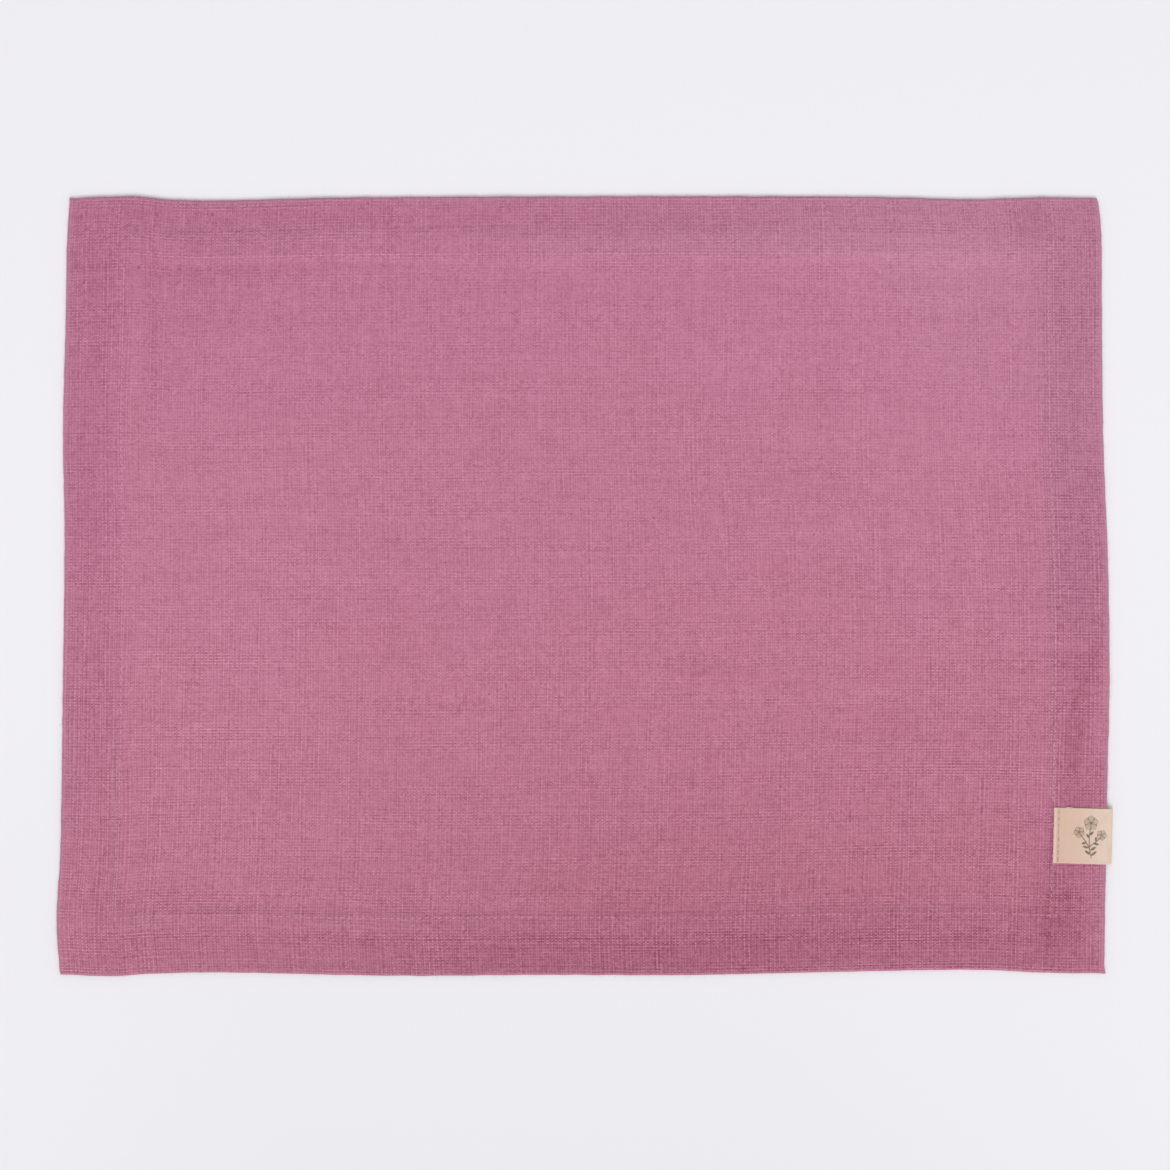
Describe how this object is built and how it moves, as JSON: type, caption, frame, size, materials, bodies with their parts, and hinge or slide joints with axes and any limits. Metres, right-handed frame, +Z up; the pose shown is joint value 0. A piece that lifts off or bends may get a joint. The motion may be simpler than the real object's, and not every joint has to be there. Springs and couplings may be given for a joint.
{
  "type": "fabric placemat",
  "caption": "Flat rectangular linen placemat with wide hems all round and a ribbon label folded over its right-hand hem.",
  "frame": {"origin": "middle of the mat's underside, which lies on z = 0", "axes": "+X along the mat's long side, towards the hem with the label; +Z up, out of the mat's face"},
  "size_m": [0.477, 0.3519, 0.0039],
  "materials": {
    "linen": "matt plain-woven linen, dusty rose, with slubs in both directions",
    "ribbon": "matt natural ribbon with a small printed flower sprig"
  },
  "bodies": {
    "root": {"linen_mat": "linen", "ribbon_label": "ribbon"}
  },
  "joints": []
}
